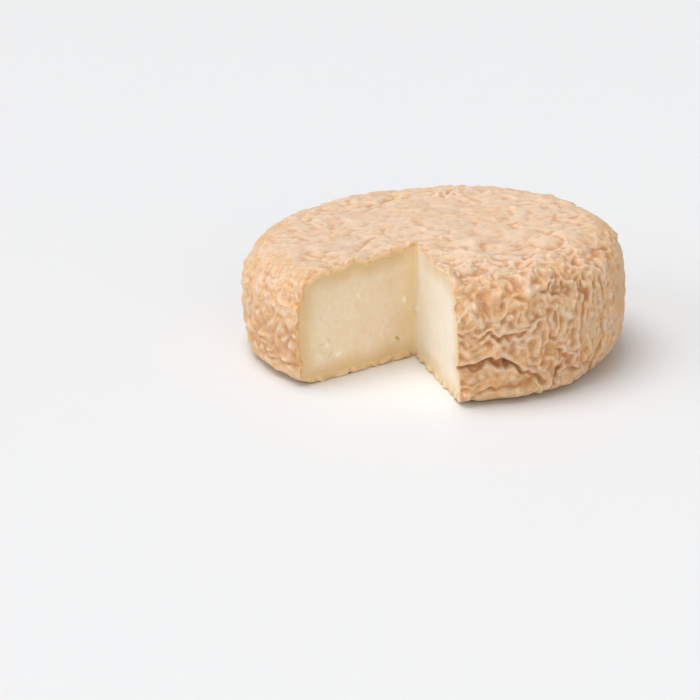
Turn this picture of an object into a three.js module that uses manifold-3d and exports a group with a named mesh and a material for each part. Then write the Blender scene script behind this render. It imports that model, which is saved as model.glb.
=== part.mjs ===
// A small round washed-rind cheese with one wedge cut out of it, standing on its flat base.
// Millimetres, +Z up. The origin is where the wheel's axis meets the base, and the cut opens towards -Y.
import * as THREE from "three";
import { mergeVertices } from "three/addons/utils/BufferGeometryUtils.js";
import Module from "manifold-3d";

// Driving dimensions of the wheel
const wheelRadius = 58; // at the widest line round the side
const wheelHeight = 35.5; // at the axis
const widestHeight = 14.5; // of the widest line above the base
const topDome = 0.45; // rise of the top's middle over its shoulder
const shoulderReach = 14.6; // how far in from the side the top rounding starts
const footReach = 7.9; // the same for the rounding down to the base
const shoulderPower = 2.8; // 2 is an ellipse, more is squarer
const footPower = 2.45;
const topSlope = 0.0784; // the wheel drained thicker on one side, by this share of its height
const thickSideAngle = THREE.MathUtils.degToRad(18.75); // where it is thickest, round +Z from +X

// Driving dimensions of the missing wedge
const cutTip = new THREE.Vector2(-1.35, -12.6); // where the two knife cuts meet, short of the middle
const cutHalfAngle = THREE.MathUtils.degToRad(32.2); // each side of -Y

// The rind's wrinkles: rounded pads with narrow creases between them, deeper on the side than on the top
const padDepth = { side: 1.5, top: 0.5 };
const padSpacing = 7.5;
const padRise = 0.6; // how far the pads stand out of the plain half section
const padFullness = 1.7; // more makes the pads broader and the creases narrower
const padRoundness = 0.8; // less makes the creases sharper
const sideStart = 0.7; // the side's deeper wrinkles start at this share of the wheel's radius
const sideFull = 0.95; // and are at their full depth from this share on
const calmMiddle = 26; // the top's creases fade out inside this radius
const calmFoot = 4; // and the side's fade out below this height
const swellDepth = 0.5; // broad uneven swelling of the side
const swellSpacing = 21;
const swellShift = 40; // in spacings, so that the swells don't follow the pads

// Creases that run along the side next to the cut where the wheel is thick, from one turn round +Z to another
const longFolds = [
  { height: 11.5, waver: 1.6, depth: 1.7, width: 1.9, from: 296, to: 336 },
  { height: 20, waver: 1.8, depth: 1.0, width: 1.8, from: 302, to: 334 },
];
const foldWaves = 9; // how far a fold wavers along its way, in radians
const foldTaper = 0.6; // less makes a fold's ends blunter

// The foot that has spread outwards under those folds
const footRoll = { from: 284, to: 344, out: 2.4, height: 7, inner: 36 };

// Fineness of the solid
const aroundSteps = 144;
const topSteps = 13;
const shoulderSteps = 11;
const footSteps = 8;
const baseSteps = 3;
const weldGap = 1e-4;

// Repeatable randomness
const hashSteps = new THREE.Vector3(127.1, 311.7, 74.7);
const hashSpread = 43758.5453;

// A smooth rise from 0 at low to 1 at high.
const rising = (value, low, high) => THREE.MathUtils.smoothstep(value, low, high);
const smooth = (t) => rising(t, 0, 1);

function turnOf(point) {
  return THREE.MathUtils.euclideanModulo(THREE.MathUtils.radToDeg(Math.atan2(point.y, point.x)), 360);
}

// A repeatable number from 0 to 1 for each corner of a unit lattice.
function cornerValue(i, j, k) {
  const wave = Math.sin(i * hashSteps.x + j * hashSteps.y + k * hashSteps.z) * hashSpread;
  return wave - Math.floor(wave);
}

// Smooth value noise from -1 to 1 at a point given in lattice units.
function lumps(x, y, z) {
  const [i, j, k] = [x, y, z].map(Math.floor);
  const [u, v, w] = [smooth(x - i), smooth(y - j), smooth(z - k)];
  let sum = 0;
  for (const [a, wa] of [[0, 1 - u], [1, u]])
    for (const [b, wb] of [[0, 1 - v], [1, v]])
      for (const [c, wc] of [[0, 1 - w], [1, w]])
        sum += wa * wb * wc * cornerValue(i + a, j + b, k + c);
  return 2 * sum - 1;
}

// A quarter of a superellipse, as a share of its reach (r) and rise (z), at t from 0 to 1.
function roundedQuarter(t, power) {
  const angle = (t * Math.PI) / 2;
  return { r: Math.cos(angle) ** (2 / power), z: Math.sin(angle) ** (2 / power) };
}

// The wheel's half section, from the middle of the base, out, up and in to the middle of the top.
function halfSection() {
  const points = [];
  const baseRadius = wheelRadius - footReach;
  for (let i = 0; i < baseSteps; i++) points.push(new THREE.Vector2((baseRadius * i) / baseSteps, 0));
  for (let i = footSteps; i > 0; i--) {
    const { r, z } = roundedQuarter(i / footSteps, footPower);
    points.push(new THREE.Vector2(baseRadius + footReach * r, widestHeight * (1 - z)));
  }
  const topRadius = wheelRadius - shoulderReach;
  for (let i = 0; i <= shoulderSteps; i++) {
    const { r, z } = roundedQuarter(i / shoulderSteps, shoulderPower);
    const rise = wheelHeight - topDome - widestHeight;
    points.push(new THREE.Vector2(topRadius + shoulderReach * r, widestHeight + rise * z));
  }
  for (let i = topSteps - 1; i >= 0; i--) {
    const share = i / topSteps;
    const z = wheelHeight - topDome * share * share;
    points.push(new THREE.Vector2(topRadius * share, z));
  }
  points[0].x = 0;
  return points;
}

// Rounded pads with creases between them, from 0 in a crease to 1 on a pad.
function pads(x, y, z) {
  return Math.min(1, padFullness * Math.abs(lumps(x, y, z)) ** padRoundness);
}

// How deep a long fold cuts in at a point of the side, from 0 to 1.
function foldShare(fold, point) {
  const along = (turnOf(point) - fold.from) / (fold.to - fold.from);
  if (along <= 0 || along >= 1) return 0;
  const height = fold.height + fold.waver * Math.sin(along * foldWaves);
  return Math.sin(along * Math.PI) ** foldTaper * Math.exp(-(((point.z - height) / fold.width) ** 2));
}

// How far the spread foot pushes a point out.
function footSpread(point, radius) {
  const along = (turnOf(point) - footRoll.from) / (footRoll.to - footRoll.from);
  if (along <= 0 || along >= 1) return 0;
  const low = 1 - rising(point.z, 0, footRoll.height);
  return footRoll.out * Math.sin(along * Math.PI) * low * rising(radius, footRoll.inner, wheelRadius - footReach);
}

// Presses a point of the smooth wheel in by the rind's wrinkles and folds. The base stays flat.
function wrinkle(point) {
  const radius = Math.max(Math.hypot(point.x, point.y), 1);
  const onSide = rising(radius / wheelRadius, sideStart, sideFull);
  const offBase = rising(point.z, 0, calmFoot);
  const crease = 1 - pads(point.x / padSpacing, point.y / padSpacing, point.z / padSpacing);
  const swell = lumps(point.x / swellSpacing + swellShift, point.y / swellSpacing, point.z / swellSpacing);
  let inwards = padDepth.side * crease + (swellDepth * (1 - swell)) / 2 - padRise;
  for (const fold of longFolds) inwards += fold.depth * foldShare(fold, point);
  const share = 1 + (footSpread(point, radius) - inwards * onSide * offBase) / radius;
  const offMiddle = rising(radius, 0, calmMiddle);
  point.z -= padDepth.top * crease * (1 - onSide) * offBase * offMiddle;
  point.x *= share;
  point.y *= share;
}

// Tips the top so that the wheel is thicker on one side.
function slant(point) {
  const along = point.x * Math.cos(thickSideAngle) + point.y * Math.sin(thickSideAngle);
  point.z *= 1 + (topSlope * along) / wheelRadius;
}

function uncutWheel() {
  const geometry = new THREE.LatheGeometry(halfSection(), aroundSteps);
  geometry.rotateX(Math.PI / 2);
  const position = geometry.getAttribute("position");
  const point = new THREE.Vector3();
  for (let i = 0; i < position.count; i++) {
    point.fromBufferAttribute(position, i);
    wrinkle(point);
    slant(point);
    position.setXYZ(i, point.x, point.y, point.z);
  }
  return geometry;
}

// The wedge that was taken out, as a prism that runs past the wheel on every side.
function missingWedge() {
  const reach = 2 * wheelRadius;
  const spread = reach * Math.tan(cutHalfAngle);
  const outline = new THREE.Shape([
    cutTip.clone(),
    new THREE.Vector2(cutTip.x - spread, cutTip.y - reach),
    new THREE.Vector2(cutTip.x + spread, cutTip.y - reach),
  ]);
  const geometry = new THREE.ExtrudeGeometry(outline, { depth: 2 * wheelHeight, bevelEnabled: false });
  return geometry.translate(0, 0, -wheelHeight / 2);
}

const wasm = await Module();
wasm.setup();

// A closed geometry as a manifold-3d solid.
function solidOf(geometry) {
  const bare = geometry.clone();
  bare.deleteAttribute("normal");
  bare.deleteAttribute("uv");
  const merged = mergeVertices(bare, weldGap);
  const corners = merged.index ? [...merged.index.array] : [...Array(merged.attributes.position.count).keys()];
  const kept = [];
  for (let i = 0; i < corners.length; i += 3) {
    const [a, b, c] = corners.slice(i, i + 3);
    if (a !== b && b !== c && c !== a) kept.push(a, b, c);
  }
  return new wasm.Manifold(
    new wasm.Mesh({
      numProp: 3,
      vertProperties: new Float32Array(merged.attributes.position.array),
      triVerts: new Uint32Array(kept),
    }),
  );
}

function geometryOf(solid) {
  const { vertProperties, triVerts } = solid.getMesh();
  const geometry = new THREE.BufferGeometry();
  geometry.setAttribute("position", new THREE.BufferAttribute(vertProperties, 3));
  geometry.setIndex(new THREE.BufferAttribute(triVerts, 1));
  geometry.computeVertexNormals();
  return geometry;
}

const cheeseMaterial = new THREE.MeshStandardMaterial({ color: 0xe0b48a, roughness: 0.75, metalness: 0 });
const cutWheel = solidOf(uncutWheel()).subtract(solidOf(missingWedge()));
const cheeseWheel = new THREE.Mesh(geometryOf(cutWheel), cheeseMaterial);
cheeseWheel.name = "cheese_wheel";

const group = new THREE.Group();
group.add(cheeseWheel);
export default group;
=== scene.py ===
import math
import time

import bpy
import numpy as np
from mathutils import Matrix, Vector, kdtree


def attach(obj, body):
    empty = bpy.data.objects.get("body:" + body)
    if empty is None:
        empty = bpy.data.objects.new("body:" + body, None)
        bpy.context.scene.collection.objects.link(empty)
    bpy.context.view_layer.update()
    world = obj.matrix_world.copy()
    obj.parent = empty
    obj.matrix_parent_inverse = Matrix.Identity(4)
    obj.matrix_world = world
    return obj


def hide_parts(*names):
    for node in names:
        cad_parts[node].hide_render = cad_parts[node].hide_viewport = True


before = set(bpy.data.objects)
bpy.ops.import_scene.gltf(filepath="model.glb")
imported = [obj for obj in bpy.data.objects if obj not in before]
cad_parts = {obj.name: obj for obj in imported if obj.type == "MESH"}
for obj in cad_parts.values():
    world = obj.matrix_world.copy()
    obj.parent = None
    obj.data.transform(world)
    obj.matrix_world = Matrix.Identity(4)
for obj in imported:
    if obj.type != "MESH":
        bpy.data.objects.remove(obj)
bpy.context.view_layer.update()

mm = 0.001
scene = bpy.context.scene

# The plain wheel under the wrinkles, as the CAD model has it, in millimetres and degrees.
wheel = {
    "radius": 58.0,
    "height": 35.5,
    "widestHeight": 14.5,
    "topDome": 0.45,
    "shoulderReach": 14.6,
    "footReach": 7.9,
    "shoulderPower": 2.8,
    "footPower": 2.45,
    "topSlope": 0.0784,
    "thickSideAngle": 18.75,
    "discShare": 0.74,      # how much of the flat top the top disc of the grid covers
    "rowsPerColumn": 1.1,   # how much finer the side band is down the wheel than round it
    "cutTip": (-1.35, -12.6),
    "cutHalfAngle": 32.2,
}


def smooth(t):
    t = np.clip(t, 0, 1)
    return t * t * (3 - 2 * t)


def between(value, low, high):
    return smooth((value - low) / (high - low))


def hashed(corner, seed):
    # one repeatable gradient for each corner of a unit lattice; the large numbers only stir its bits
    n = corner[..., 0] * 73856093 ^ corner[..., 1] * 19349663 ^ corner[..., 2] * 83492791
    n = n ^ seed * 2654435761
    n = (n ^ (n >> 13)) * 1274126177 & 0x7FFFFFFF
    a = (n & 0xFFFF) / 65536.0 * 2 * math.pi
    z = ((n >> 16) & 0x7FFF) / 32768.0 * 2 - 1
    r = np.sqrt(1 - z * z)
    return np.stack([r * np.cos(a), r * np.sin(a), z], -1)


def lumps(points, spacing, seed):
    # smooth noise, about -1 to 1, with one lump every spacing millimetres
    p = points / spacing
    cell = np.floor(p).astype(np.int64)
    f = p - cell
    w = f * f * f * (f * (f * 6 - 15) + 10)
    total = np.zeros(len(p))
    for corner in np.ndindex(2, 2, 2):
        c = np.array(corner)
        weight = np.prod(np.where(c, w, 1 - w), axis=1)
        total += weight * (hashed(cell + c, seed) * (f - c)).sum(1)
    return total * 1.6


def pillows(points, spacing, seed, crease=0.5):
    # rounded cells with creases between them, 0 in a crease and 1 on top of a cell
    p = points / spacing
    cell = np.floor(p).astype(np.int64)
    first, second = np.full(len(p), 9.0), np.full(len(p), 9.0)
    for corner in np.ndindex(3, 3, 3):
        c = cell + np.array(corner) - 1
        away = ((c + 0.5 + 0.45 * hashed(c, seed) - p) ** 2).sum(1)
        second = np.minimum(second, np.maximum(first, away))
        first = np.minimum(first, away)
    return smooth((np.sqrt(second) - np.sqrt(first)) / crease)


def halfSection():
    # radius and height from the middle of the top round to the middle of the base, the distance
    # along that line, and where the side band starts and ends on it
    w = wheel
    topRadius = w["radius"] - w["shoulderReach"]
    baseRadius = w["radius"] - w["footReach"]
    quarter = np.linspace(0, math.pi / 2, 400)
    share = np.linspace(0, 1, 60)
    rise = w["height"] - w["topDome"] - w["widestHeight"]
    shoulder = np.stack([
        topRadius + w["shoulderReach"] * np.sin(quarter) ** (2 / w["shoulderPower"]),
        w["widestHeight"] + rise * np.cos(quarter) ** (2 / w["shoulderPower"]),
    ], 1)
    foot = np.stack([
        baseRadius + w["footReach"] * np.cos(quarter) ** (2 / w["footPower"]),
        w["widestHeight"] * (1 - np.sin(quarter) ** (2 / w["footPower"])),
    ], 1)
    top = np.stack([topRadius * share, w["height"] - w["topDome"] * share**2], 1)
    base = np.stack([baseRadius * (1 - share), 0 * share], 1)
    line = np.concatenate([top[:-1], shoulder, foot[1:], base[1:]])
    along = np.concatenate([[0], np.cumsum(np.linalg.norm(np.diff(line, axis=0), axis=1))])
    topEnd = along[len(top) - 1] * w["discShare"]
    baseStart = along[len(top) + len(shoulder) + len(foot) - 3]
    return line, along, topEnd, baseStart


def discMap(n):
    # a square grid of (n + 1) x (n + 1) points spread evenly over a disc: radius share and angle
    a, b = np.meshgrid(np.linspace(-1, 1, n + 1), np.linspace(-1, 1, n + 1), indexing="ij")
    wide = np.abs(a) > np.abs(b)
    safeA = np.where(wide, a, 1)
    safeB = np.where(wide | (b == 0), 1, b)
    radius = np.where(wide, a, b)
    angle = np.where(wide, math.pi / 4 * b / safeA, math.pi / 2 - math.pi / 4 * a / safeB)
    x, y = radius * np.cos(angle), radius * np.sin(angle)
    return np.hypot(x, y), np.arctan2(y, x)


class Grid:
    # one fineness of the wheel's skin, which is one closed grid of a top disc, a side band and a
    # bottom disc: its points' places on the half section, its faces and its neighbours
    def __init__(self, n):
        line, along, topEnd, baseStart = halfSection()
        self.n = n
        columnWidth = 2 * math.pi * wheel["radius"] / (4 * n)
        self.rows = round((baseStart - topEnd) / columnWidth * wheel["rowsPerColumn"])
        self.rows -= self.rows % 2
        radius, angle = discMap(n)
        ring = self.ringOf(np.arange((n + 1) ** 2).reshape(n + 1, n + 1))
        count = (n + 1) ** 2
        inner = np.arange(4 * n * (self.rows - 1)).reshape(self.rows - 1, 4 * n) + count
        self.top = np.arange(count).reshape(n + 1, n + 1)
        baseFirst = count + inner.size
        self.base = np.arange(count).reshape(n + 1, n + 1) + baseFirst
        self.side = np.concatenate([ring[None], inner, self.ringOf(self.base)[None]])
        self.size = baseFirst + count
        distance = np.zeros(self.size)
        turn = np.zeros(self.size)
        distance[self.top] = radius * topEnd
        turn[self.top] = angle
        ringTurn = turn[ring]
        downs = np.linspace(topEnd, baseStart, self.rows + 1)
        distance[self.side] = downs[:, None]
        turn[self.side] = ringTurn[None]
        distance[self.base] = along[-1] - radius * (along[-1] - baseStart)
        turn[self.base] = angle
        r = np.interp(distance, along, line[:, 0])
        z = np.interp(distance, along, line[:, 1])
        self.turn = turn
        self.plain = np.stack([r * np.cos(turn), r * np.sin(turn), z], 1)
        self.quads = self.makeQuads()
        self.beside = self.makeNeighbours()
        self.normal = self.normals(self.plain)

    def ringOf(self, square):
        # the square's border as one loop
        return np.concatenate([square[:-1, 0], square[-1, :-1], square[:0:-1, -1], square[0, :0:-1]])

    def makeQuads(self):
        def cells(g):
            return np.stack([g[:-1, :-1], g[1:, :-1], g[1:, 1:], g[:-1, 1:]], -1).reshape(-1, 4)
        band = np.concatenate([self.side, self.side[:, :1]], 1)
        return np.concatenate([cells(self.top), cells(band), cells(self.base)[:, ::-1]])

    def makeNeighbours(self):
        # the eight points round each point; a ring point's inner ones are the disc's next to it
        n = self.n
        beside = np.zeros((self.size, 8), int)
        shifts = [(i, j) for i in (-1, 0, 1) for j in (-1, 0, 1) if i or j]
        held = np.clip(np.arange(n + 1), 1, n - 1)
        inner = [self.ringOf(square[np.ix_(held, held)])[None] for square in (self.top, self.base)]
        band = np.concatenate([inner[0], self.side, inner[1]])
        for k, (i, j) in enumerate(shifts):
            for square in (self.top, self.base):
                beside[square[1:-1, 1:-1], k] = square[1 + i:n + i, 1 + j:n + j]
            beside[self.side, k] = np.roll(band, -j, axis=1)[1 + i:len(band) - 1 + i]
        return beside

    def normals(self, points):
        q = points[self.quads]
        face = np.cross(q[:, 2] - q[:, 0], q[:, 3] - q[:, 1])
        total = np.zeros_like(points)
        for corner in range(4):
            for axis in range(3):
                total[:, axis] += np.bincount(self.quads[:, corner], face[:, axis], self.size)
        return total / np.linalg.norm(total, axis=1, keepdims=True)

    def finer(self, values, fine):
        # the same values on a grid twice as fine
        out = np.zeros((fine.size, values.shape[1]))
        for own, other in ((self.top, fine.top), (self.base, fine.base)):
            v = values[own]
            big = np.zeros((2 * v.shape[0] - 1, 2 * v.shape[1] - 1, values.shape[1]))
            big[::2, ::2] = v
            big[1::2, ::2] = (v[1:] + v[:-1]) / 2
            big[:, 1::2] = (big[:, 2::2] + big[:, :-2:2]) / 2
            out[other] = big
        v = values[self.side]
        down = np.linspace(0, len(v) - 1, fine.rows + 1)[1:-1]
        low = np.minimum(down.astype(int), len(v) - 2)
        share = (down - low)[:, None, None]
        v = v[low] * (1 - share) + v[low + 1] * share
        big = np.repeat(v, 2, axis=1)
        big[:, 1::2] = (v + np.roll(v, -1, axis=1)) / 2
        out[fine.side[1:-1]] = big
        return out


# The rind's relief: the cheese's own swells, creases and cells, and over them a skin that has
# grown larger than the cheese and buckles.
rind = {
    "passes": [
        # across: points along a quarter of the wheel. wavelength: of the wrinkles, in millimetres.
        # top, side: growth there. start: roughness at the start. hold: how firmly the cheese holds
        # the skin. inward, outward: how much more firmly against sinking in and standing out.
        # ridged: how much of the lively skin keeps its narrow ridges, under a tenth of it at 0 and
        # over half at 0.45. fade: how fast the wrinkles fade where the side is calm.
        {"across": 64, "wavelength": 7.5, "top": 0.004, "side": 0.024, "start": 0.35, "hold": 0.2,
         "inward": 2.5, "outward": 0.6, "ridged": 0, "fade": 1, "steps": 80},
        {"across": 128, "wavelength": 3.8, "top": 0.004, "side": 0.058, "start": 0.4, "hold": 0.2,
         "inward": 2.5, "outward": 0.6, "ridged": 0, "fade": 1.8, "steps": 60},
        {"across": 256, "wavelength": 2.5, "top": 0.002, "side": 0.13, "start": 0.4, "hold": 0.2,
         "inward": 2.0, "outward": 0.7, "ridged": 0.45, "fade": 2.4, "steps": 35},
    ],
    "baseGrowth": 0.01,
    "slide": 0.3,                # how firmly the cheese holds the skin against sliding
    "swell": {"height": 0.5, "spacing": 21, "seed": 3},        # the whole wheel's slow unevenness
    "warp": {"reach": 1.8, "spacing": 6, "seeds": (6, 7, 5)},  # how far swells and cells are bent
    "lively": {"turn": 305, "behind": 0.55, "more": 0.65},     # the top is rougher towards this turn
    "topSwells": [
        {"spacing": 14, "height": 1.2, "seed": 8},
        {"spacing": 7, "height": 1.0, "seed": 17},
        {"spacing": 3.8, "height": 0.42, "seed": 18},
        {"spacing": 1.8, "height": 0.1, "seed": 19},
    ],
    "topCreases": [
        {"spacing": 13, "depth": 0.95, "seed": 9},
        {"spacing": 8, "depth": 0.65, "seed": 10},
    ],
    "topRaise": 0.5,             # makes up for what the creases take away
    "pebbles": {
        # the calm side's rounded cells: how long and low they lie, and how much of them there is by turn
        "spacing": 4.8, "height": 1.65, "seed": 26, "flat": (0.75, 0.75, 1.2), "crease": 0.72,
        "turns": [0, 150, 195, 212, 228, 250, 360], "shares": [0.55, 0.55, 0.3, 0.45, 1, 1, 0.55],
    },
    "crimp": {"height": 0.75, "spacing": 3.0, "seed": 28},     # lobes along the rims of the cut
    "undercut": 0.25,            # how far the foot's edge and the cut's lower rims are drawn in
    "shoulder": {"height": 0.6, "spacing": 9, "seed": 44},
    "inset": 0.8,                # how far the side is held in, so that its crests reach the full width
    "footRoll": {
        # how far the foot bulges out, by turn
        "turns": [0, 40, 288, 298, 318, 330, 344, 360], "shares": [0, 0.4, 0.4, 0.8, 0.8, 1, 0, 0],
        "out": 3.0, "spacing": 7, "seed": 33,
    },
    "waver": {"spacing": 5, "fineSpacing": 2.4, "fine": 0.7, "seeds": (31, 32)},  # of folds and marks
    "cutFade": 2.2,              # how far from the cut its crimped edge reaches
    "patches": {"spacing": 7, "seed": 95},                     # of narrow ridges and narrow creases
    "folds": [
        # where the rind is drawn in: turn in degrees and height in millimetres along it, and its size
        {"path": [(293, 11), (297, 12), (304, 13.2), (309, 11.6)], "depth": 2.2, "width": 1.3},
        {"path": [(309, 11.6), (313, 9.9), (316, 7.7), (321, 4.1)], "depth": 1.4, "width": 0.9},
        {"path": [(299, 1.2), (303, 4), (311, 4), (317, 5)], "depth": 2.0, "width": 1.0},
        {"path": [(294, 21.5), (299, 20.5), (304, 21.5)], "depth": 0.6, "width": 0.8},
        {"path": [(305, 20.5), (308, 19.5), (313, 20.5)], "depth": 0.7, "width": 0.8},
        {"path": [(322, 15), (331, 9)], "depth": 0.9, "width": 1.3},
        {"path": [(338, 27), (335, 18), (337, 10)], "depth": 0.6, "width": 1.0},
        {"path": [(346, 28), (347.5, 22), (345, 16), (346, 11)], "depth": 0.8, "width": 1.1},
        {"path": [(345.5, 9), (343, 4), (344, 0)], "depth": 1.2, "width": 1.2},
        {"path": [(327, 8), (323.5, 0)], "depth": 1.5, "width": 1.3},
        {"path": [(354, 24), (355, 13)], "depth": 0.5, "width": 1.0},
    ],
    "topMarks": [
        # grooves, pits and raised lines on the top: place, how far each stands out, and its width
        {"path": [(-16.4, -22.7), (-16.2, -15.9), (-15.7, -10.9)], "lift": -0.8, "width": 1.0},
        {"path": [(-28.1, 21.6), (-27.5, 23.5)], "lift": -0.8, "width": 0.9},
        {"path": [(-28.0, 13.7), (-27.2, 14.5)], "lift": -0.7, "width": 0.9},
        {"path": [(37.3, 21.2), (38.5, 22.5)], "lift": -0.8, "width": 1.0},
        {"path": [(41.1, 14.5), (42.0, 13.5)], "lift": -0.6, "width": 0.9},
        {"path": [(21.7, 9.1), (23.0, 10.5)], "lift": -0.7, "width": 0.9},
        {"path": [(-9.2, 34.8), (-9.0, 39.6), (-5.4, 34.2), (-5.3, 41.4), (-2.4, 35.9)],
         "lift": 0.8, "width": 1.1},
        {"path": [(-5.5, 15.5), (-3.5, 14.0)], "lift": 0.6, "width": 1.8},
        {"path": [(15.5, -25.6), (26.5, -26.4)], "lift": 0.5, "width": 2.6},
        {"path": [(15.5, -30.5), (20, -31.0), (28, -29.5)], "lift": -0.5, "width": 0.8},
        {"path": [(18.0, -33.3), (24, -33.3), (32, -31)], "lift": 0.3, "width": 1.0},
        {"path": [(-9.4, 4.5), (-1.9, -2.6), (3.7, -5.7), (6.1, -1.2)], "lift": 0.5, "width": 1.1},
    ],
    "strength": {
        # how wrinkled each part of the side is, by its turn in degrees
        "turns": [0, 30, 90, 170, 200, 238, 270, 300, 325, 345, 360],
        "shares": [0.68, 0.42, 0.4, 0.38, 0.34, 0.46, 0.9, 1.0, 1.0, 0.85, 0.68],
    },
    "triangles": 170000,         # about how many of the uncut skin's are kept
}


def strengthOf(turn):
    return np.interp(turn, rind["strength"]["turns"], rind["strength"]["shares"])


def nearCut(points):
    # 1 on the two faces of the missing wedge, fading over a few millimetres
    near = np.zeros(len(points))
    for turn in (270 - wheel["cutHalfAngle"], 270 + wheel["cutHalfAngle"]):
        along = np.array([math.cos(math.radians(turn)), math.sin(math.radians(turn))])
        fromTip = points[:, :2] - wheel["cutTip"]
        out = fromTip @ along
        away = np.linalg.norm(fromTip - np.maximum(out, 0)[:, None] * along, axis=1)
        near = np.maximum(near, np.exp(-(away / rind["cutFade"]) ** 2))
    return near


def fromPath(spots, path):
    # how far each spot is from a line of straight pieces
    away = np.full(len(spots), 99.0)
    for start, end in zip(np.array(path[:-1]), np.array(path[1:])):
        share = np.clip(((spots - start) @ (end - start)) / ((end - start) @ (end - start)), 0, 1)
        away = np.minimum(away, np.linalg.norm(spots - start - share[:, None] * (end - start), axis=1))
    return away


def wavering(points):
    # how far a line laid over the rind strays sideways at each point, in two directions
    waver = rind["waver"]
    strays = []
    for seed in waver["seeds"]:
        fine = waver["fine"] * lumps(points, waver["fineSpacing"], seed + 2)
        strays.append(lumps(points, waver["spacing"], seed) + fine)
    return np.stack(strays, 1)


def cheeseUnder(grid):
    # the cheese that the rind lies on: slow swells, soft creases on the top, cells on the calm side
    # and long folds low beside the cut
    p, z = grid.plain, grid.plain[:, 2]
    turn = np.degrees(grid.turn) % 360
    radius = np.hypot(p[:, 0], p[:, 1])
    strong = strengthOf(turn)
    top = between(z, 20, 33)
    swell = rind["swell"]
    lift = swell["height"] * lumps(p, swell["spacing"], swell["seed"]) * between(z, 0, 8)
    lift += rind["topRaise"] * top
    warp = rind["warp"]
    warped = p + warp["reach"] * np.stack([lumps(p, warp["spacing"], seed) for seed in warp["seeds"]], 1)
    calm = 1 - (1 - strong) * between(radius, 36, 50)
    facing = math.radians(rind["lively"]["turn"])
    forward = (p[:, 0] * math.cos(facing) + p[:, 1] * math.sin(facing)) / wheel["radius"]
    lively = rind["lively"]["behind"] + rind["lively"]["more"] * between(forward, 0, 0.7)
    for swell in rind["topSwells"]:
        lift += swell["height"] * lumps(warped, swell["spacing"], swell["seed"]) * top * calm * lively
    for crease in rind["topCreases"]:
        line = (1 - pillows(warped, crease["spacing"], crease["seed"])) ** 2
        broken = between(lumps(p, crease["spacing"] * 0.7, crease["seed"] + 50), -0.2, 0.35)
        lift -= crease["depth"] * line * broken * top * calm * lively
    shoulder = rind["shoulder"]
    lumpy = shoulder["height"] * lumps(warped, shoulder["spacing"], shoulder["seed"])
    lift += lumpy * between(radius, 28, 42) * between(z, 16, 28) * strong
    pebbles = rind["pebbles"]
    height = pebbles["height"] * np.interp(turn, pebbles["turns"], pebbles["shares"])
    calmSide = between(radius, 50, 57) * (1 - between(strong, 0.5, 0.9)) * between(z, 1.5, 6)
    calmSide *= 1 - 0.6 * between(z, 14, 27)
    cells = pillows(warped * pebbles["flat"], pebbles["spacing"], pebbles["seed"], pebbles["crease"])
    lift += height * (cells - 0.45) * calmSide
    near = nearCut(p)
    crimp = rind["crimp"]
    rims = between(z, 26, 31) + 0.5 * (1 - between(z, 0, 4))
    lift += crimp["height"] * near * lumps(p, crimp["spacing"], crimp["seed"]) * rims
    foot = 1 - between(z, 0.1, 3)
    lift -= rind["undercut"] * foot * np.maximum(between(radius, 40, 49), near)
    lift -= rind["inset"] * between(radius, 44, 55)
    waver = wavering(p)
    spot = np.stack([np.radians(turn) * wheel["radius"], z], 1) + waver
    for fold in rind["folds"]:
        path = [(math.radians(at) * wheel["radius"], up) for at, up in fold["path"]]
        drawn = np.exp(-(fromPath(spot, path) / fold["width"]) ** 2)
        lift -= fold["depth"] * drawn * between(radius, 48, 55)
    for mark in rind["topMarks"]:
        raised = np.exp(-(fromPath(p[:, :2] + waver * 0.8, mark["path"]) / mark["width"]) ** 2)
        lift += mark["lift"] * raised * top
    roll = rind["footRoll"]
    out = roll["out"] * np.interp(turn, roll["turns"], roll["shares"])
    uneven = 1 + 0.4 * lumps(p, roll["spacing"], roll["seed"])
    out *= between(radius, 36, 50) * (1 - between(z, 0.5, 7)) * uneven
    points = p + grid.normal * lift[:, None]
    points[:, :2] += p[:, :2] / np.maximum(radius, 1)[:, None] * out[:, None]
    return points


def growthOf(grid, level):
    # how much longer the skin is than the cheese, round the wheel and up it, at each point
    growth = rind["passes"][level]
    p = grid.plain
    turn = np.degrees(grid.turn) % 360
    radius = np.hypot(p[:, 0], p[:, 1])
    strong = strengthOf(turn)
    reach = 24 + 20 * (1 - strong)
    side = between(radius, reach, 55)
    uneven = 1 + 0.5 * lumps(p, growth["wavelength"] * 1.7, 11 + level) + 0.3 * lumps(p, 16, 21 + level)
    strong = strong ** growth["fade"]
    amount = (growth["top"] + (growth["side"] * strong - growth["top"]) * side) * np.clip(uneven, 0.3, 2)
    flutes = between(turn, 325, 345) + 1 - between(turn, 20, 60)  # upright folds right of the cut
    lean = side * (0.25 * np.clip(flutes, 0, 1) + 0.35 * lumps(p, 13, 41 + level))
    amount *= 0.45 + 0.55 * between(p[:, 2], 0.5, 4.5)
    amount = np.where(p[:, 2] < 0.5, rind["baseGrowth"], amount)
    return [amount * (1 + lean), amount * (1 - lean)]


def growthsOf(grid):
    levels = range(len(rind["passes"]))
    return np.stack([growth for level in levels for growth in growthOf(grid, level)], 1)


def creasedShare(grid, ridged):
    # where creases are narrow and ridges broad: all of the calm side, and patches of the rest
    calm = 1 - between(strengthOf(np.degrees(grid.turn) % 360), 0.5, 0.85)
    patches = lumps(grid.plain, rind["patches"]["spacing"], rind["patches"]["seed"])
    return np.maximum(calm, between(patches, ridged - 0.6, ridged - 0.35))


def slanted(points):
    # thicker on one side, as the wheel drained
    angle = math.radians(wheel["thickSideAngle"])
    along = points[:, 0] * math.cos(angle) + points[:, 1] * math.sin(angle)
    out = points.copy()
    out[:, 2] *= 1 + wheel["topSlope"] * along / wheel["radius"]
    return out


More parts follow.
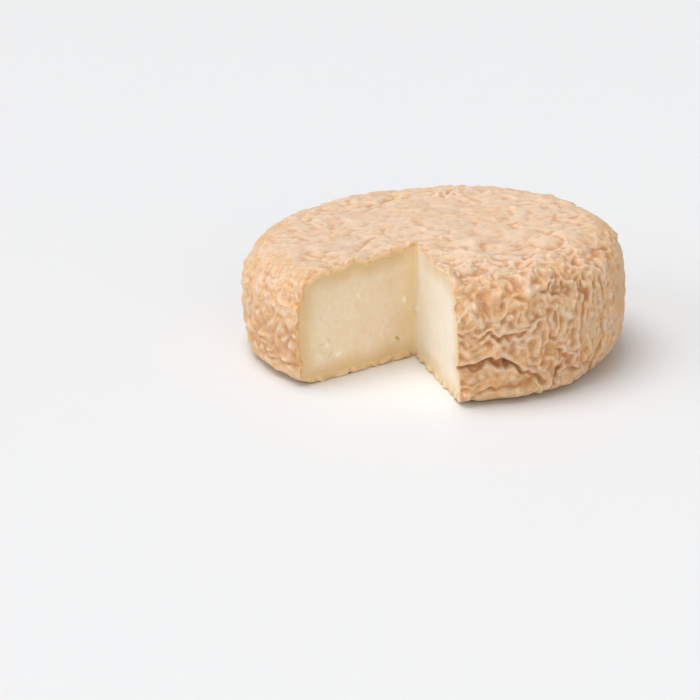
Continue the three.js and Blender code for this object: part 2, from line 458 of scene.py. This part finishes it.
def buckle(grid, under, start, growths, level):
    # lets the grown skin settle: springs along it, stiffness against bending, and a hold on the cheese
    beside = [np.ascontiguousarray(grid.beside[:, k]) for k in range(8)]
    growth = rind["passes"][level]
    plain = under.T.astype(np.float32)
    normal = grid.normal.T.astype(np.float32)
    roundWay = np.stack([-np.sin(grid.turn), np.cos(grid.turn), 0 * grid.turn]).astype(np.float32)
    grown = growths.T.astype(np.float32)
    mean = (grown[2 * level] + grown[2 * level + 1]) / 2
    growRound, growUp = grown[0:2 * level + 1:2].sum(0), grown[1:2 * level + 2:2].sum(0)
    rests, spans = [], []
    for other in beside:
        apart = plain[:, other] - plain
        span = np.sqrt((apart * apart).sum(0))
        share = ((apart * roundWay).sum(0) / np.maximum(span, 1e-6)) ** 2
        rests.append(span * (1 + growRound * share + growUp * (1 - share)))
        spans.append(np.median(span))
    wave = 2 - 2 * math.cos(2 * math.pi * min(spans) / growth["wavelength"])
    bend = 2.667 * mean / wave  # the stiffness that suits the set wavelength
    hold = growth["hold"] * 4 * mean**2 / bend
    pace = 1.5 / (14 + 9 * float(bend.max()))
    points = start.T.astype(np.float32)
    moving = np.zeros_like(points)
    for step in range(growth["steps"]):
        force = np.zeros_like(points)
        for other, rest in zip(beside, rests):
            away = [p[other] - p for p in points]
            pull = 1 - rest / np.sqrt(away[0] ** 2 + away[1] ** 2 + away[2] ** 2 + 1e-12)
            for axis in range(3):
                force[axis] += pull * away[axis]
        moved = points - plain
        out = (moved * normal).sum(0)
        out *= np.where(out < 0, growth["inward"], growth["outward"]) - rind["slide"]
        for axis in range(3):
            m = moved[axis]
            curve = (sum(m[other] for other in beside) / 8 - m) * bend
            force[axis] -= 4 * (sum(curve[other] for other in beside) / 8 - curve)
            force[axis] -= hold * (out * normal[axis] + rind["slide"] * m)
        moving = moving * 0.9 + force * pace
        points = points + moving
        points[2] = np.maximum(points[2], 0)
    return points.T.astype(float)


def growRind():
    grid, moved, growths = None, None, None
    for level, growth in enumerate(rind["passes"]):
        began = time.time()
        finer = Grid(growth["across"])
        finest = level == len(rind["passes"]) - 1  # too many points there to work it out anew
        growths = grid.finer(growths, finer) if finest else growthsOf(finer)
        under = cheeseUnder(finer)
        size = growth["wavelength"]
        rough = lumps(finer.plain, size * 1.1, 61 + level)
        rough += 0.6 * lumps(finer.plain, size * 0.55, 71 + level)
        rough *= 0.4 + 0.6 * between(np.hypot(finer.plain[:, 0], finer.plain[:, 1]), 30, 50)
        start = under + finer.normal * (rough * growth["start"])[:, None]
        if grid is not None:
            start += grid.finer(moved, finer)
        grid = finer
        gridMade = time.time()
        points = buckle(grid, under, start, growths, level)
        moved = points - under
        # the skin buckles into narrow ridges; turned inside out along the normal, they become creases
        out = (moved * grid.normal).sum(1)
        moved -= 2 * (creasedShare(grid, growth["ridged"]) * out)[:, None] * grid.normal
        points = under + moved
        points[:, 2] = np.maximum(points[:, 2], 0)
        moved = points - under
        rise = ((points - grid.plain) * grid.normal).sum(1)
        relief = np.percentile(rise, [1, 25, 50, 75, 99]).round(2)
        print("rind pass", level, "points", grid.size, "relief", relief,
              "seconds", round(gridMade - began, 1), round(time.time() - gridMade, 1))
    return grid, points, rise


def standOut(grid, height, steps):
    # how far each point stands above its surroundings, in millimetres; more steps take in wider ones
    beside = [np.ascontiguousarray(grid.beside[:, k]) for k in range(8)]
    smoothed = height.astype(np.float32)
    for step in range(steps):
        smoothed = (sum(smoothed[other] for other in beside) / 8 + smoothed) / 2
    return height - smoothed


# The missing wedge, cut out with a prism whose two faces are finely faceted, in millimetres.
cut = {
    "step": 0.42,          # facet size on the cut faces
    "length": 62.0,
    "bottom": -3,          # heights between which the prism runs
    "top": 45,
    "outside": -100,       # where the prism closes, clear of the wheel
    "rough": 0.06,
    "lobeSize": 2.4,       # how wide the rind's lobes are where they hang over the cut
    "lobeLift": 0.65,      # how far they hang
    "lean": [0.0, 2.2],    # how far the foot of each cut runs out, in degrees
    "corner": 0.9,         # radius of the inner corner
    # glow: painted light, the paste made paler towards the inner corner, where it lies in the corner's
    # shade
    "glow": [10.0, 13.0],  # how far from the inner corner each face is brighter
    "marks": [
        # crumbs, pits and scores. out: distance from the tip. lift: how far it stands out.
        # tone: paler over 0, darker under it; paler crumbs are partly their own colour and partly painted
        # highlight, darker pits and scores are painted shade. lean: in degrees.
        {"face": 0, "out": 4.7, "up": 18.3, "wide": 0.9, "tall": 0.95, "lift": 1.0, "tone": 2.2},
        {"face": 0, "out": 4.1, "up": 16.6, "wide": 0.5, "tall": 0.5, "lift": 0.25, "tone": 0.8},
        {"face": 0, "out": 6.9, "up": 6.6, "wide": 1.2, "tall": 0.5,
         "lift": -0.7, "tone": -1.2, "lean": 40},
        {"face": 0, "out": 5.7, "up": 7.1, "wide": 1.2, "tall": 0.4, "lift": 0.25, "tone": 1.0, "lean": 65},
        {"face": 0, "out": 35.2, "up": 10.9, "wide": 1.3, "tall": 0.4,
         "lift": -0.3, "tone": -0.8, "lean": 15},
        {"face": 0, "out": 33.0, "up": 12.0, "wide": 0.9, "tall": 0.35,
         "lift": -0.3, "tone": -0.7, "lean": 50},
        {"face": 0, "out": 33.9, "up": 10.6, "wide": 1.0, "tall": 1.0, "lift": 0.2, "tone": 0.9},
        {"face": 0, "out": 32.6, "up": 7.3, "wide": 1.7, "tall": 0.4,
         "lift": -0.35, "tone": -0.6, "lean": -50},
        {"face": 0, "out": 29.7, "up": 7.0, "wide": 1.3, "tall": 0.8, "lift": 0.3, "tone": 1.0},
        {"face": 0, "out": 36.9, "up": 5.5, "wide": 0.8, "tall": 0.4, "lift": 0.2, "tone": 0.5},
        {"face": 0, "out": 30.1, "up": 17.2, "wide": 0.45, "tall": 0.45, "lift": -0.3, "tone": -0.7},
        {"face": 0, "out": 12.4, "up": 13.4, "wide": 0.7, "tall": 0.6, "lift": -0.3, "tone": -0.6},
        {"face": 0, "out": 11.2, "up": 12.9, "wide": 0.8, "tall": 0.6, "lift": 0.2, "tone": 0.6},
        {"face": 0, "out": 22.2, "up": 23.2, "wide": 0.4, "tall": 1.5,
         "lift": 0.15, "tone": 0.9, "lean": -10},
        {"face": 0, "out": 26.6, "up": 19.4, "wide": 0.4, "tall": 1.2,
         "lift": 0.15, "tone": 0.7, "lean": -20},
        {"face": 0, "out": 13.4, "up": 9.2, "wide": 1.3, "tall": 0.5,
         "lift": 0.15, "tone": 0.7, "lean": 45},
        {"face": 0, "out": 10.2, "up": 25.0, "wide": 1.2, "tall": 0.35,
         "lift": -0.2, "tone": -0.5, "lean": -50},
        {"face": 0, "out": 18.5, "up": 5.6, "wide": 1.3, "tall": 0.6,
         "lift": 0.15, "tone": 0.5, "lean": 30},
        {"face": 0, "out": 0.6, "up": 15.1, "wide": 0.9, "tall": 0.9, "lift": 0.6, "tone": 0.0},
        {"face": 1, "out": 1.4, "up": 15.1, "wide": 1.5, "tall": 1.0, "lift": 1.1, "tone": 0.8},
        {"face": 1, "out": 3.0, "up": 16.5, "wide": 1.0, "tall": 0.5, "lift": 0.2, "tone": 0.6},
        {"face": 1, "out": 11.0, "up": 22.0, "wide": 0.6, "tall": 2.1, "lift": 0.1, "tone": 0.4},
    ],
}


def cutFace(face, out, up, skin):
    # points on one of the two cut faces with the small relief that the knife left, their tone, the
    # lobes of rind and how near the inner corner they are
    turn = math.radians(270 + (1 if face else -1) * wheel["cutHalfAngle"])
    along = np.array([math.cos(turn), math.sin(turn), 0])
    inward = np.array([math.sin(turn), -math.cos(turn), 0]) * (1 if face else -1)
    tip = np.array([*wheel["cutTip"], 0])
    flat = tip + out[:, None] * along + up[:, None] * np.array([0, 0, 1])
    half, corner = math.radians(wheel["cutHalfAngle"]), cut["corner"]
    share = np.clip(out * math.tan(half) / corner, 0, 1)
    bend = share * (math.pi / 2 - half)
    roundX = corner * np.sin(bend) * (1 if face else -1)
    roundY = corner * (np.cos(bend) - 1 / math.sin(half))
    inCorner = share < 1
    flat[inCorner, 0] = tip[0] + roundX[inCorner]
    flat[inCorner, 1] = tip[1] + roundY[inCorner]
    lift = cut["rough"] * (lumps(flat, 4.5, 80) + lumps(flat, 2.2, 81) + 0.6 * lumps(flat, 1.1, 82))
    lift *= between(out, 0.2, 2)
    lift -= math.radians(cut["lean"][face]) * out * np.maximum(1 - up / 15, 0)
    tone = 0 * out
    torn = 0.5 * lumps(flat, 1.6, 83)
    for mark in cut["marks"]:
        if mark["face"] == face:
            lean = math.radians(mark.get("lean", 0))
            x, y = out - mark["out"] + torn, up - mark["up"] - torn
            x, y = x * math.cos(lean) + y * math.sin(lean), y * math.cos(lean) - x * math.sin(lean)
            away = (x / mark["wide"]) ** 2 + (y / mark["tall"]) ** 2
            lift += mark["lift"] * np.exp(-away)
            tone += mark["tone"] * np.exp(-away)
    size = cut["lobeSize"]
    lobe = between(lumps(flat, size, 90) + 0.5 * lumps(flat, size / 2, 91), -0.5, 0.5)
    nearRind = 1 - between(depthsOf(flat, skin), 0.4, 1.5)
    lift += cut["lobeLift"] * lobe * nearRind * between(out, 0.5, 2)
    # painted light: 1 at the inner corner, fading out, where the paste is painted paler
    glow = 1 - between(out, 0, cut["glow"][face])
    return flat + inward * lift[:, None], tone, lobe, glow


def wedgeMesh(skin):
    # the prism that is taken out: both faces in one run of columns, closed outside the wheel
    reach = np.linspace(0, cut["length"], round(cut["length"] / cut["step"]) + 1)
    rows = round((cut["top"] - cut["bottom"]) / cut["step"]) + 1
    heights = np.linspace(cut["bottom"], cut["top"], rows)
    outs, ups = np.meshgrid(reach, heights, indexing="ij")
    columns = []
    for face, order in ((0, slice(None, None, -1)), (1, slice(1, None))):
        points, *values = cutFace(face, outs.ravel(), ups.ravel(), skin)
        columns.append(np.concatenate([points, np.stack(values, 1)], 1).reshape(*outs.shape, 6)[order])
    far = np.zeros((1, len(heights), 6))
    far[0, :, 1] = cut["outside"]
    far[0, :, 2] = heights
    columns = np.concatenate(columns + [far])
    index = np.arange(columns[..., 0].size).reshape(columns.shape[:2])
    around = np.concatenate([index, index[:1]])
    quads = np.stack([around[:-1, :-1], around[:-1, 1:], around[1:, 1:], around[1:, :-1]], -1)
    faces = quads.reshape(-1, 4).tolist() + [index[:, 0].tolist(), index[:, -1][::-1].tolist()]
    wedge = meshOf("wedge", columns[..., :3].reshape(-1, 3), faces)
    for place, name in ((3, "tone"), (4, "lobe"), (5, "glow")):
        setValues(wedge.data, name, columns[..., place].ravel())
    return wedge


def treeOf(points):
    tree = kdtree.KDTree(len(points))
    for index, point in enumerate(points):
        tree.insert(point, index)
    tree.balance()
    return tree


def depthsOf(points, skin):
    # how deep each point lies under the rind
    return np.array([skin.find(point)[2] for point in points])


def meshOf(name, points, faces):
    mesh = bpy.data.meshes.new(name)
    mesh.from_pydata((points * mm).tolist(), [], faces)
    mesh.update()
    obj = bpy.data.objects.new(name, mesh)
    scene.collection.objects.link(obj)
    return obj


def applyModifier(obj, kind, settings):
    modifier = obj.modifiers.new(kind, kind)
    for key, value in settings.items():
        setattr(modifier, key, value)
    mesh = bpy.data.meshes.new_from_object(obj.evaluated_get(bpy.context.evaluated_depsgraph_get()))
    obj.modifiers.clear()
    old, obj.data = obj.data, mesh
    bpy.data.meshes.remove(old)


def setValues(mesh, name, values):
    attribute = mesh.attributes.new(name, "FLOAT", "POINT")
    attribute.data.foreach_set("value", values.astype(np.float32))


def pointsOf(mesh):
    points = np.empty(len(mesh.vertices) * 3, np.float32)
    mesh.vertices.foreach_get("co", points)
    return points.reshape(-1, 3) / mm


class Wire:
    # a socket that takes part in sums
    def __init__(self, finish, socket):
        self.finish, self.socket = finish, socket

    def maths(self, operation, *values):
        inputs = dict(enumerate(values or (self,)))
        return self.finish.add("ShaderNodeMath", {"operation": operation}, inputs)

    def __add__(self, other):
        return self.maths("ADD", self, other)

    def __radd__(self, other):
        return self.maths("ADD", other, self)

    def __sub__(self, other):
        return self.maths("SUBTRACT", self, other)

    def __rsub__(self, other):
        return self.maths("SUBTRACT", other, self)

    def __mul__(self, other):
        return self.maths("MULTIPLY", self, other)

    def __rmul__(self, other):
        return self.maths("MULTIPLY", other, self)

    def over(self, low, high):
        # 0 under low, 1 over high, and a smooth rise between them
        settings = {"interpolation_type": "SMOOTHSTEP"}
        return self.finish.add("ShaderNodeMapRange", settings, {0: self, 1: low, 2: high})

    def under(self, high, low):
        return 1 - self.over(low, high)


class Finish:
    # a material and the one way its nodes are added
    def __init__(self, name):
        self.material = bpy.data.materials.new(name)
        self.material.use_nodes = True
        self.tree = self.material.node_tree
        self.tree.nodes.clear()
        self.place = self.add("ShaderNodeTexCoord", output="Object")

    def add(self, kind, settings=None, values=None, output=0):
        node = self.tree.nodes.new(kind)
        for name, value in (settings or {}).items():
            setattr(node, name, value)
        for name, value in (values or {}).items():
            if isinstance(value, Wire):
                self.tree.links.new(value.socket, node.inputs[name])
            elif isinstance(value, tuple) and len(value) == 3 and node.inputs[name].type == "RGBA":
                node.inputs[name].default_value = (*value, 1)
            else:
                node.inputs[name].default_value = value
        return Wire(self, node.outputs[output])

    def noise(self, size, detail, rough, warp, seed):
        # lumps about size millimetres across, 0 to 1
        values = {0: self.place, 1: (seed, seed * 0.7, 0)}
        moved = self.add("ShaderNodeVectorMath", {"operation": "ADD"}, values)
        values = {"Vector": moved, "Scale": 1 / (size * mm), "Detail": detail, "Roughness": rough,
                  "Distortion": warp}
        return self.add("ShaderNodeTexNoise", None, values)

    def attribute(self, name):
        return self.add("ShaderNodeAttribute", {"attribute_name": name}, None, "Fac")

    def mix(self, share, first, second):
        # the second colour over the first; 6 and 7 are the node's colour inputs, 2 its colour output
        values = {0: share, 6: first, 7: second}
        return self.add("ShaderNodeMix", {"data_type": "RGBA"}, values, 2)

    def bump(self, height, distance):
        return self.add("ShaderNodeBump", None, {"Height": height, "Distance": distance * mm})

    def close(self, values):
        shader = self.add("ShaderNodeBsdfPrincipled", None, values)
        end = self.tree.nodes.new("ShaderNodeOutputMaterial")
        self.tree.links.new(shader.socket, end.inputs["Surface"])
        return self.material


def tint(red, green, blue):
    # a screen colour, 0 to 255, as the renderer wants it; all the tints here are too light for the
    # straight part of the screen curve
    return tuple(((v / 255 + 0.055) / 1.055) ** 2.4 for v in (red, green, blue))


rindLook = {
    "tan": tint(233, 196, 157),
    "ochre": tint(236, 185, 127),
    "pink": tint(240, 206, 173),
    "top": tint(226, 200, 177),
    "topWarm": tint(226, 188, 152),
    # crestBloomAndHighlight: the pale mould on ridges, and with it a painted highlight on what stands out
    "crestBloomAndHighlight": tint(246, 223, 199),
    # crease: the rind's own orange-brown, and as it is laid into hollows, painted shade there too
    "crease": tint(206, 138, 80),
    # fold: a darker brown for the deepest folds, painted shade over the rind's own orange-brown
    "fold": tint(176, 112, 58),
    "bloom": tint(246, 230, 212),
}


def rindFinish():
    f, look = Finish("rind"), rindLook
    rise, top = f.attribute("rise"), f.attribute("topShare")
    fine, wide = f.attribute("fineBump"), f.attribute("wideBump")
    blotch = f.noise(11, 3, 0.55, 0.4, 0.1)
    patch = f.noise(4.5, 3, 0.6, 0.6, 0.3)
    fleck = f.noise(2, 3, 0.65, 0.8, 1.4)
    grain = f.noise(0.45, 3, 0.65, 0, 0.5)
    crinkle = f.noise(1.5, 3, 0.6, 1.2, 0.9)
    thread = 1 - (crinkle - 0.5).maths("ABSOLUTE") * 9
    color = f.mix(blotch.over(0.38, 0.62), look["tan"], look["pink"])
    color = f.mix(patch.over(0.42, 0.6) * 0.9, color, look["ochre"])
    low = f.add("ShaderNodeSeparateXYZ", None, {0: f.place}, 2).under(16 * mm, 4 * mm)
    color = f.mix(low * 0.3, color, look["ochre"])
    upper = f.mix(patch.over(0.4, 0.7) * 0.35 + blotch.over(0.4, 0.62) * 0.45, look["top"], look["topWarm"])
    color = f.mix(top * 0.85, color, upper)
    # painted shade with the rind's own orange-brown: the crease colour in the side's sunken parts here, in
    # wide hollows and in narrow creases below
    color = f.mix(rise.under(-0.5, -1.8) * 0.5 * (1 - top), color, look["crease"])
    # painted shade: a darker brown in the deepest folds
    color = f.mix(rise.under(-1.5, -2.9) * 0.5, color, look["fold"])
    color = f.mix(wide.under(-0.02, -0.4 + 0.2 * top) * (0.3 + 0.14 * top), color, look["crease"])
    # painted highlight with the mould's own paleness: the pale crest colour on what stands above its
    # surroundings, here and two lines below
    color = f.mix(wide.over(0.02, 0.4 - 0.2 * top) * (0.12 + 0.12 * top), color, look["crestBloomAndHighlight"])
    color = f.mix(fine.under(-0.03, -0.18 + 0.1 * top) * (0.4 - 0.12 * top), color, look["crease"])
    color = f.mix(fine.over(0.03, 0.12) * (0.36 - 0.18 * top), color, look["crestBloomAndHighlight"])
    color = f.mix(thread.over(0.4, 1) * (0.2 - 0.17 * top), color, look["crestBloomAndHighlight"])
    color = f.mix(grain.over(0.5, 0.72) * (0.16 - 0.06 * top), color, look["bloom"])
    color = f.mix(grain.under(0.5, 0.3) * (0.12 - 0.06 * top), color, look["crease"])
    relief = (thread.over(0, 1) * 0.5 + crinkle + fleck) * (1 - 0.6 * top) + grain * 0.4
    normal = f.bump(relief, 0.4)
    return f.close({"Base Color": color, "Roughness": 0.72 - 0.1 * patch, "Normal": normal,
                    "Subsurface Weight": 0.45, "Subsurface Radius": (1.0, 0.5, 0.25),
                    "Subsurface Scale": 0.7 * mm, "Specular IOR Level": 0.35})


pasteLook = {
    "cream": tint(235, 220, 197),
    "deepCream": tint(228, 205, 169),
    # pale: painted light for the lit right face
    "pale": tint(240, 236, 226),
    "yellow": tint(217, 185, 135),
    "skin": tint(238, 204, 166),
    "ochre": tint(214, 168, 104),
    "line": tint(246, 230, 196),
    "crumb": tint(246, 235, 212),
    # glow and goldGlow: painted light for the inner corner, near white on the lit right face and gold on
    # the shaded left one
    "glow": tint(255, 250, 240),
    "goldGlow": tint(252, 228, 180),
    # pit: painted shade in pits and scores
    "pit": tint(206, 168, 108),
}


def pasteFinish():
    f, look = Finish("paste"), pasteLook
    depth, tone, lobe = f.attribute("rindDepth"), f.attribute("tone"), f.attribute("lobe")
    glow = f.attribute("glow")
    high = f.add("ShaderNodeSeparateXYZ", None, {0: f.place}, 2)
    over = high.over(27 * mm, 31 * mm) + high.under(3 * mm, 1.5 * mm) * 0.55  # the two level rims
    # painted light: the right face, which the key light falls on, is painted paler and less yellow than the
    # shaded left face
    right = f.add("ShaderNodeSeparateXYZ", None, {0: f.place}, 0).over(-1.4 * mm, 0)  # the right face
    waver = f.noise(2.2, 3, 0.6, 0, 0.2)
    drift = f.noise(9, 3, 0.6, 0, 1.7)
    inside = depth + (waver - 0.5) * 1.2 + lobe * 0.5
    cloud = f.noise(7, 4, 0.6, 0.5, 0.4)
    speck = f.noise(1.8, 4, 0.65, 0.3, 0.8)
    streak = f.noise(1.1, 3, 0.6, 0.3, 0.6)
    grain = f.noise(0.7, 4, 0.6, 0, 0.6)
    color = f.mix(0.15 + cloud.over(0.35, 0.7) * 0.45, look["cream"], look["deepCream"])
    # painted light: the lit right face made paler
    color = f.mix(right * 0.4, color, look["pale"])
    color = f.mix(speck.over(0.52, 0.7) * 0.35, color, look["crumb"])
    color = f.mix(speck.under(0.45, 0.3) * 0.2, color, look["yellow"])
    ripe = (depth + (drift - 0.5) * 4).under(7.5, 1.5)  # the paste ripens from the rind inwards
    # painted light: less of the ripe yellow on the lit right face
    color = f.mix(ripe * (0.82 - 0.25 * right), color, look["yellow"])
    # painted light: paler towards the inner corner, near white on the lit right face and gold on the shaded
    # left face
    color = f.mix(glow * 0.6, color, f.mix(right, look["goldGlow"], look["glow"]))
    color = f.mix(streak.over(0.64, 0.74) * 0.25, color, look["crumb"])
    color = f.mix(inside.under(2.2, 1.7) * 0.35 * over, color, look["line"])
    color = f.mix(inside.under(2.1, 1.1) * (0.6 - lobe * 0.35) * over, color, look["ochre"])
    color = f.mix((depth - lobe * 1.3).under(0.9, -0.1) * 0.9 * over, color, look["skin"])
    color = f.mix(inside.under(1.8, 0.7) * (0.95 - lobe * 0.6) * (1 - over), color, look["ochre"])
    # painted highlight on crumbs, with their own paleness; below, painted shade in pits and scores
    color = f.mix(tone.over(0.15, 0.8) * 0.95, color, look["crumb"])
    color = f.mix(tone.under(-0.15, -0.8) * 0.7, color, look["pit"])
    normal = f.bump(grain + streak, 0.12)
    return f.close({"Base Color": color, "Roughness": 0.5 + 0.15 * grain, "Normal": normal,
                    "Subsurface Weight": 0.5, "Subsurface Radius": (1.0, 0.75, 0.45),
                    "Subsurface Scale": 2.5 * mm, "Specular IOR Level": 0.35})


def makeCheese():
    began = time.time()
    grid, points, rise = growRind()
    cheese = meshOf("cheese", slanted(points), grid.quads.tolist())
    setValues(cheese.data, "rise", rise)
    setValues(cheese.data, "fineBump", standOut(grid, rise, 4))
    setValues(cheese.data, "wideBump", standOut(grid, rise, 40))
    level = grid.plain
    top = (1 - between(np.hypot(level[:, 0], level[:, 1]), 40, 55)) * between(level[:, 2], 20, 32)
    setValues(cheese.data, "topShare", top)
    print("rind grown in", round(time.time() - began, 1), "seconds")
    applyModifier(cheese, "DECIMATE", {"ratio": rind["triangles"] / (2 * len(cheese.data.polygons))})
    skin = treeOf(pointsOf(cheese.data))
    print("rind thinned to", len(cheese.data.polygons), "faces by", round(time.time() - began, 1))
    finishes = rindFinish(), pasteFinish()
    wedge = wedgeMesh(skin)
    for finish in finishes:
        cheese.data.materials.append(finish)
        wedge.data.materials.append(finish)
    wedge.data.polygons.foreach_set("material_index", [1] * len(wedge.data.polygons))
    applyModifier(cheese, "BOOLEAN", {"operation": "DIFFERENCE", "solver": "MANIFOLD", "object": wedge})
    bpy.data.objects.remove(wedge)
    mesh = cheese.data
    slots = np.empty(len(mesh.polygons), np.int32)
    mesh.polygons.foreach_get("material_index", slots)
    counts = np.empty(len(mesh.polygons), np.int32)
    mesh.polygons.foreach_get("loop_total", counts)
    corners = np.empty(len(mesh.loops), np.int32)
    mesh.loops.foreach_get("vertex_index", corners)
    onCut = np.unique(corners[np.repeat(slots == 1, counts)])
    place = pointsOf(mesh)
    depth = np.zeros(len(place))
    depth[onCut] = depthsOf(place[onCut], skin)
    setValues(mesh, "rindDepth", depth)
    mesh.shade_smooth()
    mesh.set_sharp_from_angle(angle=math.radians(60))
    print("cut, faces of rind and paste", np.bincount(slots), "triangles", int((counts - 2).sum()),
          "by", round(time.time() - began, 1))
    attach(cheese, "root")
    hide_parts("cheese_wheel")


makeCheese()

# The camera, in millimetres and degrees.
view = {
    "azimuth": 18.75,
    "elevation": 19.54,
    "target": (0, 0, 17.4),
    "right": 24.91,
    "up": 18.77,
    "distance": 754.5,
    "lens": 129.2,
}


def makeCamera():
    a, e = math.radians(view["azimuth"]), math.radians(view["elevation"])
    right = Vector((math.cos(a), math.sin(a), 0))
    forward = Vector((-math.sin(a) * math.cos(e), math.cos(a) * math.cos(e), -math.sin(e)))
    up = right.cross(forward)
    place = Vector(view["target"]) - right * view["right"] - up * view["up"] - forward * view["distance"]
    data = bpy.data.cameras.new("camera")
    data.lens = view["lens"]
    data.sensor_width = 36
    camera = bpy.data.objects.new("camera", data)
    facing = Matrix((right, up, -forward)).transposed().to_4x4()
    camera.matrix_world = Matrix.Translation(place * mm) @ facing
    scene.collection.objects.link(camera)
    scene.camera = camera


makeCamera()
reach = 3e4  # half the floor's width in millimetres, past where the camera sees
corners = np.array([[-reach, -reach, 0], [reach, -reach, 0], [reach, reach, 0], [-reach, reach, 0]])
floor = meshOf("floor", corners, [[0, 1, 2, 3]])
floorMaterial = bpy.data.materials.new("floor")
floorMaterial.use_nodes = True
floorColour = floorMaterial.node_tree.nodes["Principled BSDF"].inputs["Base Color"]
floorColour.default_value = (0.805, 0.812, 0.825, 1)
floor.data.materials.append(floorMaterial)

light = {
    # round: how far round from straight left towards the viewer, in degrees, as high and softness are
    "key": {"strength": 1.84, "softness": 42, "round": -10, "high": 74, "colour": (1, 1, 1)},
    "leftFill": {"strength": 1.29, "softness": 60, "round": 20, "high": 12, "colour": (0.97, 1, 1.07)},
    "rightFill": {"strength": 1.22, "softness": 60, "round": 102, "high": 10, "colour": (1, 0.93, 0.78)},
    "sky": 0.41,
}


def makeLight(name, values):
    data = bpy.data.lights.new(name, "SUN")
    data.energy = values["strength"]
    data.color = values["colour"]
    data.angle = math.radians(values["softness"])
    lamp = bpy.data.objects.new(name, data)
    turn = math.radians(view["azimuth"] + 180 + values["round"])
    high = math.radians(values["high"])
    toLight = Vector((math.cos(turn) * math.cos(high), math.sin(turn) * math.cos(high), math.sin(high)))
    lamp.rotation_mode = "QUATERNION"
    lamp.rotation_quaternion = toLight.to_track_quat("Z", "Y")
    scene.collection.objects.link(lamp)


for name in ("key", "leftFill", "rightFill"):
    makeLight(name, light[name])
world = bpy.data.worlds.new("sky")
scene.world = world
world.use_nodes = True
world.node_tree.nodes["Background"].inputs["Color"].default_value = (1, 1, 1, 1)
world.node_tree.nodes["Background"].inputs["Strength"].default_value = light["sky"]
scene.view_settings.view_transform = "Standard"
print("camera, floor and light are in place")
